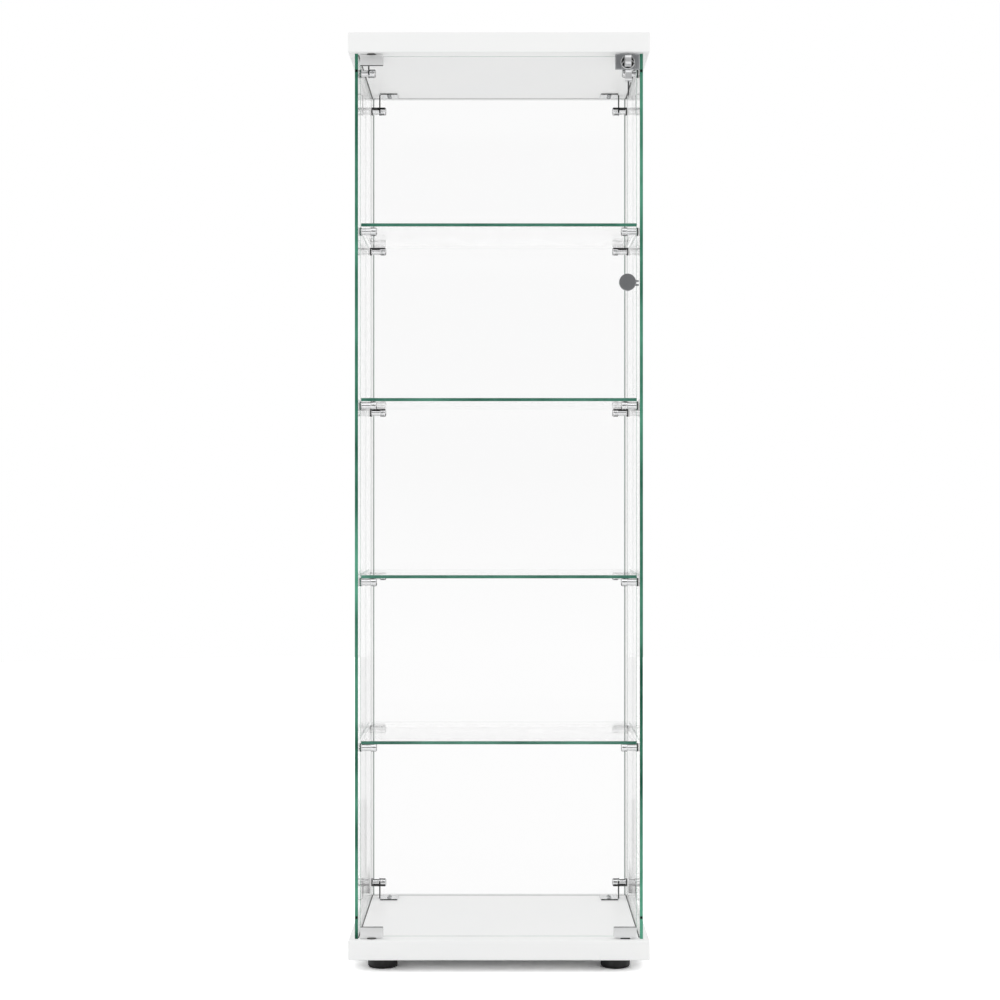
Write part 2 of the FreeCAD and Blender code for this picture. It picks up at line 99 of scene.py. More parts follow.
# %% White melamine
# Pressed resin: a satin white whose pebble breaks up every reflection
PEBBLE_MM = 1.6
CLOUD_MM = 90
white_melamine, tree = start("white_melamine")
place = add(tree, "TexCoord").outputs["Object"]
pebble = add(tree, "TexNoise", {"Vector": place, "Scale": 1 / (PEBBLE_MM * MM), "Detail": 2.0})
cloud = add(tree, "TexNoise", {"Vector": place, "Scale": 1 / (CLOUD_MM * MM), "Detail": 3.0})
tint = add(tree, "Mix", {0: cloud.outputs["Fac"], MIX_FIRST: linear("#F1F2F2"),
                         MIX_SECOND: linear("#F5F5F4")}, data_type="RGBA")
bump = add(tree, "Bump", {"Height": pebble.outputs["Fac"], "Strength": 0.08, "Distance": 0.1 * MM})
gloss = add(tree, "MapRange", {"Value": pebble.outputs["Fac"], "To Min": 0.34, "To Max": 0.44})
skin = add(tree, "BsdfPrincipled", {"Base Color": tint.outputs[MIX_COLOUR], "IOR": 1.5,
                                    "Roughness": gloss.outputs["Result"], "Normal": bump.outputs["Normal"]})
add(tree, "OutputMaterial", {"Surface": skin.outputs["BSDF"]})
print("made", white_melamine.name)

# %% [markdown]
# ## Float glass
# Float glass is clear through its faces and green through its cut edges, because iron in the glass takes
# red out of light that has run a long way inside. A renderer would need many bounces to find that out, so
# the finish decides by the surface's own direction: faces across the pane's thin axis are clear, and the
# ground edges get the green, which wanders between light and dark over about 150 mm of length. An edge that
# is met from inside the pane stays clear. At a glancing view a face would turn into a mirror, so up to half
# of it is let through there. Panes cast no shadow, because thin clear glass barely dims a room's soft light.
# Two dark spots are also painted on the front edges of the side panes: a painted image of screws seen
# through the glass.

# %% Painted dark spots in an edge
ALONG = 0.9
SPOT_CORE_MM = 1.2
SPOT_RIM_MM = 2.6


def painted_screw_spots(tree, coords, edge, heights):
    """A front edge colour with a painted dark spot at each height, in metres, for a screw seen through the
    glass.
    """
    place = add(tree, "SeparateXYZ", {"Vector": coords.outputs["Object"]})
    facing = add(tree, "SeparateXYZ", {"Vector": coords.outputs["Normal"]})
    front = add(tree, "Math", {0: facing.outputs["Y"], 1: -ALONG}, operation="LESS_THAN")
    for height in heights:
        off = add(tree, "Math", {0: place.outputs["Z"], 1: height}, operation="SUBTRACT")
        far = add(tree, "Math", {0: off.outputs["Value"]}, operation="ABSOLUTE")
        painted_shaft = add(tree, "MapRange", {"Value": far.outputs["Value"], "From Min": SPOT_RIM_MM * MM,
                                       "From Max": SPOT_CORE_MM * MM})
        spot = add(tree, "Math", {0: painted_shaft.outputs["Result"], 1: front.outputs["Value"]},
                   operation="MULTIPLY")
        # Each spot mixes a near-black into the edge: a painted image of a screw seen through the glass
        mix = add(tree, "Mix", {0: spot.outputs["Value"], MIX_FIRST: edge, MIX_SECOND: linear("#06140F")},
                  data_type="RGBA")
        edge = mix.outputs[MIX_COLOUR]
    return edge


print("spots are", 2 * SPOT_RIM_MM, "mm tall")

# %% Pane recipe
# Floated glass with ground edges: polished faces, and edges that scatter light into a satin green.
# The index is lower than real glass has, so that panes behind one another stay as clear as they look.
DRIFT_MM = 150
GREEN_LIMITS = (0.37, 0.65)
PANE_IOR = 1.2
GLANCE_STARTS = 0.6
GLANCE_FULL = 0.86
LET_THROUGH = 0.5


def float_glass(name, thin_axis, dark_edge, light_edge, screw_heights=()):
    """Clear glass for a pane that is thin along one axis, with green cut edges."""
    made, tree = start(name)
    coords = add(tree, "TexCoord")
    along = add(tree, "VectorMath", {0: coords.outputs["Normal"], 1: thin_axis}, operation="DOT_PRODUCT")
    size = add(tree, "Math", {0: along.outputs["Value"]}, operation="ABSOLUTE")
    face = add(tree, "Math", {0: size.outputs["Value"], 1: ALONG}, operation="GREATER_THAN").outputs["Value"]
    drift = add(tree, "TexNoise", {"Vector": coords.outputs["Object"], "Scale": 1 / (DRIFT_MM * MM),
                                   "Detail": 4.0, "Roughness": 0.6})
    green = add(tree, "ValToRGB", {"Fac": drift.outputs["Fac"]})
    for stop, limit, colour in zip(green.color_ramp.elements, GREEN_LIMITS, (dark_edge, light_edge)):
        stop.position = limit
        stop.color = linear(colour)
    edge = green.outputs["Color"]
    if screw_heights:
        edge = painted_screw_spots(tree, coords, edge, screw_heights)
    colour = add(tree, "Mix", {0: face, MIX_FIRST: edge, MIX_SECOND: linear("#FEFEFE")}, data_type="RGBA")
    ground = add(tree, "MapRange", {"Value": face, "To Min": 0.25, "To Max": 0.0})
    pane = add(tree, "BsdfPrincipled", {"Base Color": colour.outputs[MIX_COLOUR],
                                        "Roughness": ground.outputs["Result"], "IOR": PANE_IOR,
                                        "Transmission Weight": face})
    glance = add(tree, "LayerWeight", {"Blend": 0.5})
    skim = add(tree, "MapRange", {"Value": glance.outputs["Facing"], "From Min": GLANCE_STARTS,
                                  "From Max": GLANCE_FULL, "To Min": 0.0, "To Max": LET_THROUGH})
    clear_face = add(tree, "Math", {0: skim.outputs["Result"], 1: face}, operation="MULTIPLY")
    inside = add(tree, "NewGeometry").outputs["Backfacing"]
    clear_edge = add(tree, "Math", {0: inside, 1: face}, operation="SUBTRACT", use_clamp=True)
    clear = add(tree, "Math", {0: clear_face.outputs["Value"], 1: clear_edge.outputs["Value"]},
                operation="MAXIMUM")
    through = add(tree, "BsdfTransparent", {"Color": linear("#FFFFFF")})
    mix = add(tree, "MixShader", {0: clear.outputs["Value"], 1: pane.outputs["BSDF"],
                                  2: through.outputs["BSDF"]})
    add(tree, "OutputMaterial", {"Surface": mix.outputs["Shader"]})
    return made


print("edges drift over", DRIFT_MM, "mm")

# %% Three panes, by the axis they are thin along
# Heights of the painted dark spots for screws seen through the glass
SCREW_HEIGHTS = (1.272, 0.076)
side_pane = float_glass("float_glass_side", (1, 0, 0), "#134F3B", "#589F84", SCREW_HEIGHTS)
upright_pane = float_glass("float_glass_upright", (0, 1, 0), "#134F3B", "#589F84")
shelf_pane = float_glass("float_glass_shelf", (0, 0, 1), "#2B5C4C", "#528A76")
print("made", side_pane.name, upright_pane.name, shelf_pane.name)

# %% [markdown]
# ## Plated and bare metals
# The studs are chrome plated, and the brackets, clamps and screws are zinc plated. The lock's plate is
# die-cast zinc, the knob and its clip are satin steel, and the key grips are plastic under a metallised
# coat. Each could have a tree of its own, but they share one recipe: a grain drawn by stretched noise, which
# moves the colour and the roughness a little and lifts the surface by a hair. Real grain is finer than a
# tenth of a millimetre. It is drawn several times as coarse, because it would not show otherwise.

# %% Metal recipe
GRAIN_LIMITS = (0.3, 0.7)
PLAIN = (1, 1, 1)


def metal(name, colours, roughness, grain_mm, stretch, height_mm, sheared_edge_shade=None, rim="#FFFFFF"):
    """A metal with a fine grain: two colours, two roughness limits, grain size and its stretch on X, Y, Z.
    A sheared-edge colour goes on cut edges that face along Y, where it is bare steel and painted shade at
    once, and a rim colour tints glancing reflections."""
    made, tree = start(name)
    coords = add(tree, "TexCoord")
    run = add(tree, "Mapping", {"Vector": coords.outputs["Object"], "Scale": stretch})
    grain = add(tree, "TexNoise", {"Vector": run.outputs["Vector"], "Scale": 1 / (grain_mm * MM),
                                   "Detail": 3.0})
    shade = add(tree, "ValToRGB", {"Fac": grain.outputs["Fac"]})
    for stop, limit, colour in zip(shade.color_ramp.elements, GRAIN_LIMITS, colours):
        stop.position = limit
        stop.color = linear(colour)
    rough = add(tree, "MapRange", {"Value": grain.outputs["Fac"], "To Min": roughness[0],
                                   "To Max": roughness[1]})
    bump = add(tree, "Bump", {"Height": grain.outputs["Fac"], "Strength": 0.2, "Distance": height_mm * MM})
    colour = shade.outputs["Color"]
    # Faces along Y take the sheared-edge colour: bare steel and painted shade at once
    if sheared_edge_shade:
        facing = add(tree, "SeparateXYZ", {"Vector": coords.outputs["Normal"]})
        size = add(tree, "Math", {0: facing.outputs["Y"]}, operation="ABSOLUTE")
        shaded_cut = add(tree, "Math", {0: size.outputs["Value"], 1: ALONG}, operation="GREATER_THAN")
        mix = add(tree, "Mix", {0: shaded_cut.outputs["Value"], MIX_FIRST: colour, MIX_SECOND: linear(sheared_edge_shade)},
                  data_type="RGBA")
        colour = mix.outputs[MIX_COLOUR]
    body = add(tree, "BsdfPrincipled", {"Base Color": colour, "Metallic": 1.0, "Specular Tint": linear(rim),
                                        "Roughness": rough.outputs["Result"],
                                        "Normal": bump.outputs["Normal"]})
    add(tree, "OutputMaterial", {"Surface": body.outputs["BSDF"]})
    return made


print("metal grain runs between", GRAIN_LIMITS)

# %% Nine metals
# Chromium on polished brass: almost a mirror with a slow waviness. Its glancing reflections are tinted near
# black, which is painted shade along a round outline.
chrome_plate = metal("chrome_plate", ("#E8E9EA", "#F2F2F3"), (0.03, 0.07), 6.0, PLAIN, 0.002, rim="#101010")
# Rolled steel, zinc plated: bright, with soft streaks left by the rolls
ZINC = ("#BFC1C2", "#D6D7D8")
ZINC_GLOSS = (0.12, 0.22)
bright_zinc = metal("bright_zinc_plate", ZINC, ZINC_GLOSS, 0.8, (1, 1, 8), 0.01)
# The same plate as strip that was cut afterwards: its sheared edges are bare, and their dark colour on the
# faces looking front and back is painted shade for the dark room those faces mirror.
strip_zinc = metal("zinc_plated_strip", ZINC, ZINC_GLOSS, 0.8, (1, 1, 8), 0.01, sheared_edge_shade="#3A3B3C")
# Folded steel, tumbled and then plated: a pale satin that mirrors nothing clearly
satin_zinc = metal("satin_zinc_plate", ("#E9EAEA", "#F5F5F5"), (0.42, 0.55), 0.8, (8, 1, 1), 0.01)
# Zinc alloy, die-cast and left so: a grey satin with a sandy skin
cast_zinc = metal("satin_cast_zinc", ("#A6A8AB", "#B8BABD"), (0.3, 0.42), 0.5, PLAIN, 0.02)
# Steel turned with a fine feed: a darker satin, because its tool marks scatter the light
turned_steel = metal("satin_turned_steel", ("#98999C", "#AAABAE"), (0.28, 0.4), 0.5, (1, 6, 1), 0.01)
# Nickel silver, rolled and cut: a dull grey with fine lines
nickel_silver = metal("nickel_silver", ("#8E8F91", "#A4A5A7"), (0.2, 0.34), 0.6, (4, 1, 4), 0.01)
# ABS, moulded and metallised: a bright coat, kept soft by the matt mould
metallised_grip = metal("metallised_abs", ("#E6E7E8", "#F1F1F2"), (0.36, 0.44), 0.4, PLAIN, 0.01)
# Brass turned and thinly nickel plated: grey with a hint of yellow
nickel_brass = metal("nickel_plated_brass", ("#B3AC9A", "#C9C2B0"), (0.18, 0.3), 0.6, (1, 5, 1), 0.01)
print("made nine metals")

# %% [markdown]
# ## Plastics and rubber
# The feet are moulded ABS. The hinge washers are dark nylon, the clamps are lined with soft black rubber, and
# soft black beads sit in the grooves, whose dark is painted shade for the gap round each pane. Pale strips
# seal the rear corners. The catch magnet is a sintered ceramic, almost black. All of them are dielectrics
# with a fine pebble, so again one recipe serves. The pebble, too, is drawn coarser than it is on the real
# pieces, because it would not show otherwise.

# %% Moulded recipe
def moulded(name, colours, roughness, grain_mm, height_mm, ior=1.5):
    """A moulded or sintered surface: two colours, two roughness limits, pebble size and height."""
    made, tree = start(name)
    coords = add(tree, "TexCoord")
    pebble = add(tree, "TexNoise", {"Vector": coords.outputs["Object"], "Scale": 1 / (grain_mm * MM),
                                    "Detail": 2.0})
    shade = add(tree, "ValToRGB", {"Fac": pebble.outputs["Fac"]})
    for stop, limit, colour in zip(shade.color_ramp.elements, GRAIN_LIMITS, colours):
        stop.position = limit
        stop.color = linear(colour)
    rough = add(tree, "MapRange", {"Value": pebble.outputs["Fac"], "To Min": roughness[0],
                                   "To Max": roughness[1]})
    bump = add(tree, "Bump", {"Height": pebble.outputs["Fac"], "Strength": 0.3, "Distance": height_mm * MM})
    body = add(tree, "BsdfPrincipled", {"Base Color": shade.outputs["Color"], "IOR": ior,
                                        "Roughness": rough.outputs["Result"],
                                        "Normal": bump.outputs["Normal"]})
    add(tree, "OutputMaterial", {"Surface": body.outputs["BSDF"]})
    return made


print("moulded pebble runs between", GRAIN_LIMITS)

# %% Five moulded finishes
# ABS from a spark-eroded mould: a matt black with a fine pebble
black_abs = moulded("black_abs", ("#0D0D0D", "#141414"), (0.4, 0.55), 0.7, 0.05)
# Nylon, moulded: a dark and slightly waxy grey
nylon = moulded("dark_nylon", ("#4A4A49", "#5A5A58"), (0.4, 0.5), 0.8, 0.02)
# Rubber, extruded: black and too matt to mirror anything
soft_rubber = moulded("soft_black_rubber", ("#1A1A1A", "#262626"), (0.6, 0.75), 0.6, 0.03, 1.52)
# Soft vinyl, extruded: a pale milky grey with a faint gloss
pale_seal = moulded("pale_grey_seal", ("#A2A6A4", "#B6BAB8"), (0.3, 0.4), 2.0, 0.01)
# Ferrite powder, pressed and sintered: near black and dry
ceramic_magnet = moulded("ceramic_magnet", ("#262626", "#343434"), (0.5, 0.65), 0.5, 0.03)
print("made five moulded finishes")

# %% [markdown]
# ## Give the frame its finishes
# Many nodes have the right shape already and only need a finish, which goes into the mesh's own slot. Those
# that get a finer piece further on are painted too, in case they ever show. The panes are kept out of shadows
# and of soft bounces, which thin clear glass hardly changes.

# %% Paint the nodes
CLAMPS = ("upper_hinge_clamp", "lower_hinge_clamp", "catch_clamp")
brackets = sorted(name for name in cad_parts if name.endswith("_bracket"))
finishes = {
    white_melamine: ["base_board", "top_board"],
    side_pane: ["left_glass", "right_glass"],
    upright_pane: ["back_glass", "door_glass"],
    shelf_pane: ["shelf_1_glass", "shelf_2_glass", "shelf_3_glass", "shelf_4_glass"],
    chrome_plate: ["shelf_stud_shanks", "shelf_stud_caps", "bracket_stud_shanks", "bracket_stud_caps",
                   "lock_barrel"],
    strip_zinc: brackets,
    bright_zinc: ["lock_cam", "key_ring"],
    satin_zinc: CLAMPS,
    cast_zinc: ["lock_case", "lock_rear_housing"],
    turned_steel: ["door_knob", "knob_clip"],
    nickel_silver: ["key_blade", "spare_key_blade"],
    nickel_brass: ["lock_plug"],
    black_abs: ["feet"],
    metallised_grip: ["key_head", "spare_key_head"],
    nylon: ["hinge_washers"],
    soft_rubber: ["upper_clamp_lining", "lower_clamp_lining", "catch_clamp_lining", "knob_clip_pads"],
    ceramic_magnet: ["catch_magnet"],
}
for finish, names in finishes.items():
    for name in names:
        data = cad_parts[name].data
        data.materials.clear()
        data.materials.append(finish)
for finish in (side_pane, upright_pane, shelf_pane):
    for name in finishes[finish]:
        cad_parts[name].visible_shadow = False
        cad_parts[name].visible_diffuse = False
painted = [name for names in finishes.values() for name in names]
print("painted", len(painted), "of", len(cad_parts), "nodes")

# %% [markdown]
# ## From mesh to piece
# Finer pieces are built in a bmesh and then become an object that rides a body of the frame, takes the
# place of a node and gets a finish. Edges sharper than 35 degrees stay crisp. Where one node holds several
# solids, such as all studs, a second helper finds the box of each.

# %% Piece helper
CRISP = math.radians(35)


def piece(name, work, body, finish, replaces=()):
    """Turns a bmesh into a piece that rides a body and stands for the named nodes."""
    bmesh.ops.recalc_face_normals(work, faces=work.faces)
    data = bpy.data.meshes.new(name)
    work.to_mesh(data)
    work.free()
    data.shade_smooth()
    data.set_sharp_from_angle(angle=CRISP)
    data.materials.append(finish)
    made = bpy.data.objects.new(name, data)
    bpy.context.scene.collection.objects.link(made)
    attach(made, body)
    if replaces:
        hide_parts(*replaces)
    print(name, len(data.polygons), "faces on", body)
    return made


print("edges stay crisp above", round(math.degrees(CRISP)), "degrees")

# %% Solids of a node
WELD = 0.001 * MM


def solids(node):
    """Lowest and highest corner of each separate solid of a node, in metres, in a fixed order."""
    work = bmesh.new()
    work.from_mesh(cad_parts[node].data)
    bmesh.ops.remove_doubles(work, verts=work.verts, dist=WELD)
    left, boxes = set(work.verts), []
    while left:
        heap, island = [left.pop()], []
        while heap:
            vert = heap.pop()
            island.append(vert.co.copy())
            for edge in vert.link_edges:
                other = edge.other_vert(vert)
                if other in left:
                    left.remove(other)
                    heap.append(other)
        low = Vector([min(p[i] for p in island) for i in range(3)])
        high = Vector([max(p[i] for p in island) for i in range(3)])
        boxes.append((low, high))
    work.free()
    return sorted(boxes, key=lambda box: tuple(round(v, 4) for v in box[0] + box[1]))


print("shelf studs:", len(solids("shelf_stud_caps")), "bracket studs:", len(solids("bracket_stud_caps")))

# %% [markdown]
# ## Turned pieces
# Studs, feet, knob and barrel are round, so they are made as on a lathe: a profile, given as distance along
# the axis and radius in millimetres, is spun about the axis. Rims are then rounded with a bevel, because no
# turned rim is truly sharp and the rounding is what catches the light.

# %% Lathe
SHARP_RIM = math.radians(30)
ROUNDING = {"segments": 3, "profile": 0.5, "affect": "EDGES", "clamp_overlap": True}


def turn(work, profile, origin, axis, steps=48, rim_mm=0.3):
    """Spins a profile about an axis through origin, rounds its rims, and adds it to a bmesh."""
    shape = bmesh.new()
    points = [shape.verts.new((along * MM, 0, radius * MM)) for along, radius in profile]
    edges = [shape.edges.new(pair) for pair in zip(points, points[1:])]
    bmesh.ops.spin(shape, geom=points + edges, cent=(0, 0, 0), axis=(1, 0, 0), dvec=(0, 0, 0),
                   angle=2 * math.pi, steps=steps)
    bmesh.ops.remove_doubles(shape, verts=shape.verts, dist=WELD)
    bmesh.ops.recalc_face_normals(shape, faces=shape.faces)
    sharp = [e for e in shape.edges if len(e.link_faces) == 2 and e.calc_face_angle(0) > SHARP_RIM]
    if rim_mm:
        bmesh.ops.bevel(shape, geom=sharp, offset=rim_mm * MM, **ROUNDING)
    turn_to = Vector((1, 0, 0)).rotation_difference(Vector(axis)).to_matrix().to_4x4()
    bmesh.ops.transform(shape, matrix=Matrix.Translation(origin) @ turn_to, verts=shape.verts)
    spare = bpy.data.meshes.new("turning")
    shape.to_mesh(spare)
    shape.free()
    work.from_mesh(spare)
    bpy.data.meshes.remove(spare)


print("rims are rounded above", round(math.degrees(SHARP_RIM)), "degrees")

# %% [markdown]
# ## Studs
# A stud is turned brass in two pieces: a base with a flange and a slimmer shank, and a cap with a chamfered
# end. A soft ring washer lies between flange and glass, and shows as a dark line at the foot of each stud.
# Every stud could be an object, but all studs of a group together need only three: washers, bases and caps.

# %% Stud recipe
BOND = 0.1
WASHER_END = 2.0
WASHER_HOLE = 2.5
WASHER_RADIUS = 5.9
FLANGE_END = 2.9
FLANGE_RADIUS = 6.0
SHANK_RADIUS = 4.7
CAP_RADIUS = 5.8
CHAMFER_LONG = 1.2
CHAMFER_DEEP = 1.4


def stud_place(low, high):
    """The side a stud is on, the middle of its end towards the glass, and its length in millimetres."""
    side = 1 if low.x > 0 else -1
    glass_end = Vector((high.x if side > 0 else low.x, (low.y + high.y) / 2, (low.z + high.z) / 2))
    return side, glass_end, (high.x - low.x) / MM


def make_studs(prefix):
    """Washers, bases and caps for every stud of a group, put where the frame's solids are."""
    washers, bases, caps = bmesh.new(), bmesh.new(), bmesh.new()
    washer = [(BOND, WASHER_HOLE), (BOND, WASHER_RADIUS), (WASHER_END, WASHER_RADIUS),
              (WASHER_END, WASHER_HOLE), (BOND, WASHER_HOLE)]
    for low, high in solids(prefix + "_shanks"):
        side, glass_end, length = stud_place(low, high)
        base = [(WASHER_END, 0), (WASHER_END, FLANGE_RADIUS), (FLANGE_END, FLANGE_RADIUS),
                (FLANGE_END, SHANK_RADIUS), (length, SHANK_RADIUS), (length, 0)]
        turn(bases, base, glass_end, (-side, 0, 0))
        turn(washers, washer, glass_end, (-side, 0, 0), steps=40, rim_mm=0)
    for low, high in solids(prefix + "_caps"):
        side, shank_end, length = stud_place(low, high)
        cap = [(0, 0), (0, CAP_RADIUS), (length - CHAMFER_LONG, CAP_RADIUS),
               (length, CAP_RADIUS - CHAMFER_DEEP), (length, 0)]
        turn(caps, cap, shank_end, (-side, 0, 0), rim_mm=0.35)
    piece(prefix + "_washers", washers, "case", soft_rubber)
    piece(prefix + "_turned_bases", bases, "case", chrome_plate, [prefix + "_shanks"])
    piece(prefix + "_turned_caps", caps, "case", chrome_plate, [prefix + "_caps"])


print("washers are", round(WASHER_END - BOND, 1), "mm thick")

# %% Studs under the shelves and at the brackets
make_studs("shelf_stud")
make_studs("bracket_stud")

# %% [markdown]
# ## Feet
# Each foot is a moulded disc whose tread curves up at the rim, and from below one sees the recess of its
# screw. The curve is an arc of points in the profile that the lathe spins.

# %% Moulded feet and their screws
TREAD = 4.0
FOOT_PLAY = 0.15
RECESS_TOP = 9
RECESS_RADIUS = 6
RELIEF = 0.6
RELIEF_RADIUS = 10
TREAD_INNER = 11
FOOT_SCREW = [(7.2, 0), (6.2, 1.4), (6.2, 3.2), (7.4, 4.4), (RECESS_TOP, 4.4), (RECESS_TOP, 0)]


def arc(centre_a, centre_b, radius, first, last, steps=8):
    """Points on an arc in a plane, in millimetres, with angles in degrees."""
    angles = [math.radians(first + (last - first) * i / steps) for i in range(steps + 1)]
    return [(centre_a + radius * math.cos(a), centre_b + radius * math.sin(a)) for a in angles]


feet, foot_screws = bmesh.new(), bmesh.new()
underside = [(RECESS_TOP, 0), (RECESS_TOP, RECESS_RADIUS), (RELIEF, RECESS_RADIUS), (RELIEF, RELIEF_RADIUS),
             (0, TREAD_INNER)]
for low, high in solids("feet"):
    middle = (low + high) / 2
    floor_point = Vector((middle.x, middle.y, low.z))
    radius = (high.x - low.x) / 2 / MM - FOOT_PLAY
    height = (high.z - low.z) / MM
    tread = [(TREAD + up, radius - TREAD + out) for out, up in arc(0, 0, TREAD, -90, 0)]
    turn(feet, underside + tread + [(height, radius), (height, 0)], floor_point, (0, 0, 1), steps=64)
    turn(foot_screws, FOOT_SCREW, floor_point, (0, 0, 1))
piece("moulded_feet", feet, "case", black_abs, ["feet"])
piece("foot_screw_heads", foot_screws, "case", bright_zinc)

# %% [markdown]
# ## Sheet-metal brackets
# The six corner brackets are bent from 1.8 mm strip. Each has a foot with rounded corners on the board, a
# soft bend, and a narrow leg whose round end sits between the shank and the cap of a stud. Two screws hold
# the foot. Foot, bend and leg are each an outline, drawn flat with arcs and then thickened.

# %% Plate helper
def plate(work, outline, place, thickness):
    """A flat outline, thickened: place turns (across, up, depth) in millimetres into a point in metres."""
    near = [work.verts.new(place(a, b, 0)) for a, b in outline]
    far = [work.verts.new(place(a, b, thickness)) for a, b in outline]
    work.faces.new(near)
    work.faces.new(far[::-1])
    for i in range(len(outline)):
        j = (i + 1) % len(outline)
        work.faces.new((near[i], near[j], far[j], far[i]))


print("brackets to bend:", len(brackets))

# %% Bracket recipe
SHEET = 1.8
BEND = 0.5
BEND_OUT = BEND + SHEET
LEG_WIDTH = 13.0
CORNER = 1.5
SCREW_ASIDE = 8
PAN_HEAD = [(0, 0), (0, 3.5), (1.0, 3.4), (1.9, 2.4), (2.1, 1.5), (1.1, 0.9), (0.9, 0)]


def make_bracket(name):
    """A bent bracket and its screws in the place of one bracket node."""
    low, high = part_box(name)
    side = 1 if low.x > 0 else -1
    from_top = "_top_" in name
    outer_x = (high.x if side > 0 else low.x) / MM
    board_z = (high.z if from_top else low.z) / MM
    away = -1 if from_top else 1
    middle_y = (low.y + high.y) / 2 / MM
    foot_length = (high.x - low.x) / MM
    foot_half = (high.y - low.y) / 2 / MM
    leg_half = LEG_WIDTH / 2
    stud_up = (high.z - low.z) / MM - leg_half

    def at_point(inward, sideways, up):
        return Vector((outer_x - side * inward, middle_y + sideways, board_z + away * up)) * MM

    work = bmesh.new()
    foot = [(BEND_OUT, -foot_half)]
    foot += arc(foot_length - CORNER, -foot_half + CORNER, CORNER, -90, 0)
    foot += arc(foot_length - CORNER, foot_half - CORNER, CORNER, 0, 90)
    foot += [(BEND_OUT, foot_half)]
    plate(work, foot, at_point, SHEET)
    bend = arc(BEND_OUT, BEND_OUT, BEND_OUT, 270, 180) + arc(BEND_OUT, BEND_OUT, BEND, 180, 270)
    plate(work, bend, lambda a, b, d: at_point(a, d - leg_half, b), LEG_WIDTH)
    leg = [(-leg_half, BEND_OUT)] + arc(0, stud_up, leg_half, 180, 0, 16) + [(leg_half, BEND_OUT)]
    plate(work, leg, lambda a, b, d: at_point(d, a, b), SHEET)
    bmesh.ops.remove_doubles(work, verts=work.verts, dist=WELD)
    piece(name + "_bent", work, "case", strip_zinc, [name])
    screws = bmesh.new()
    for sideways in (-SCREW_ASIDE, SCREW_ASIDE):
        seat = at_point((foot_length + BEND_OUT) / 2, sideways, SHEET)
        turn(screws, PAN_HEAD, seat, (0, 0, away), steps=32, rim_mm=0.15)
    piece(name + "_screws", screws, "case", bright_zinc)


print("bends are", BEND, "mm inside")

# %% Six brackets
for name in brackets:
    make_bracket(name)

# %% [markdown]
# ## Black bands on the rear studs
# Each rear stud carries a black band of soft rubber. On the bracket studs it lies on the side towards the
# board. On the shelf studs it lies just below the shelf and is open along its top, where the glass rests. In
# section it is part of a ring, so it is drawn as two arcs and run along the stud, once over each of the
# stud's three diameters.

# %% Black band recipe
BAND_RADIUS = 6.4
BAND_PLAY = 0.05
BAND_STEPS = 16
CAP_COVER = 7.4
black_bands = bmesh.new()
glass_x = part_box("right_glass")[0].x / MM


def add_black_band(side, shank_end, cap_start, axis, away, lips):
    """A black band over a stud, as one shell or two lips: lips are angles, axis is the stud's Y and Z."""
    flange_x = glass_x - FLANGE_END
    spans = [(flange_x, glass_x, FLANGE_RADIUS), (shank_end, flange_x, SHANK_RADIUS),
             (cap_start - CAP_COVER, cap_start, CAP_RADIUS)]
    for start_x, end_x, inner in spans:
        for first, last in lips:
            section = arc(0, 0, BAND_RADIUS, first, last, BAND_STEPS)
            section += arc(0, 0, inner + BAND_PLAY, last, first, BAND_STEPS)
            plate(black_bands, section,
                  lambda a, b, d: Vector((side * (start_x + d), axis[0] + a, axis[1] + away * b)) * MM,
                  end_x - start_x)


print("saddles start at", round(glass_x, 2), "mm from the middle")

# %% Black bands on the rear studs
WHOLE = [(25, 155)]
OPEN_TOP = [(35, 65), (115, 145)]
for name in brackets:
    if name.startswith("rear_"):
        low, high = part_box(name)
        from_top = "_top_" in name
        leg_x = max(abs(low.x), abs(high.x)) / MM
        axis_z = low.z / MM + LEG_WIDTH / 2 if from_top else high.z / MM - LEG_WIDTH / 2
        axis = ((low.y + high.y) / 2 / MM, axis_z)
        add_black_band(1 if low.x > 0 else -1, leg_x, leg_x - SHEET, axis, 1 if from_top else -1, WHOLE)
for low, high in solids("shelf_stud_caps"):
    middle = (low + high) / 2 / MM
    if middle.y > 0:
        cap_start = max(abs(low.x), abs(high.x)) / MM
        add_black_band(1 if low.x > 0 else -1, cap_start, cap_start, (middle.y, middle.z), 1, OPEN_TOP)
piece("rear_stud_black_bands", black_bands, "case", soft_rubber)

# %% [markdown]
# ## Groove beads and corner seals
# A thin dark line runs wherever the side and back panes meet the boards, and a paler one runs up each rear
# corner. The dark lines are soft beads in the grooves, whose dark is painted shade for the gap where a pane
# enters its groove. The pale strips close the gap between back and sides. A bead is a quarter round drawn in
# the corner and run along it.

# %% Groove beads, dark as painted shade
SIDE_BEAD = 1.0
BACK_BEAD = 0.45
BEAD_START = 3
back_low, back_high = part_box("back_glass")
base_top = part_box("base_board")[1].z / MM
top_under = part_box("top_board")[0].z / MM
back_front = back_low.y / MM
side_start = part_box("door_glass")[1].y / MM + BEAD_START
side_section = [(0, 0)] + arc(0, 0, SIDE_BEAD, 0, 90)
back_section = [(0, 0)] + arc(0, 0, BACK_BEAD, 0, 90)
work = bmesh.new()
# The beads' dark is painted shade for the gap where each pane enters its groove
for level, away in ((base_top, 1), (top_under, -1)):
    for side in (-1, 1):
        plate(work, side_section,
              lambda a, b, d: Vector((side * (glass_x - a), side_start + d, level + away * b)) * MM,
              back_front - side_start)
    plate(work, back_section,
          lambda a, b, d: Vector((back_low.x / MM + d, back_front - a, level + away * b)) * MM,
          (back_high.x - back_low.x) / MM)
piece("groove_shade_beads", work, "case", soft_rubber)

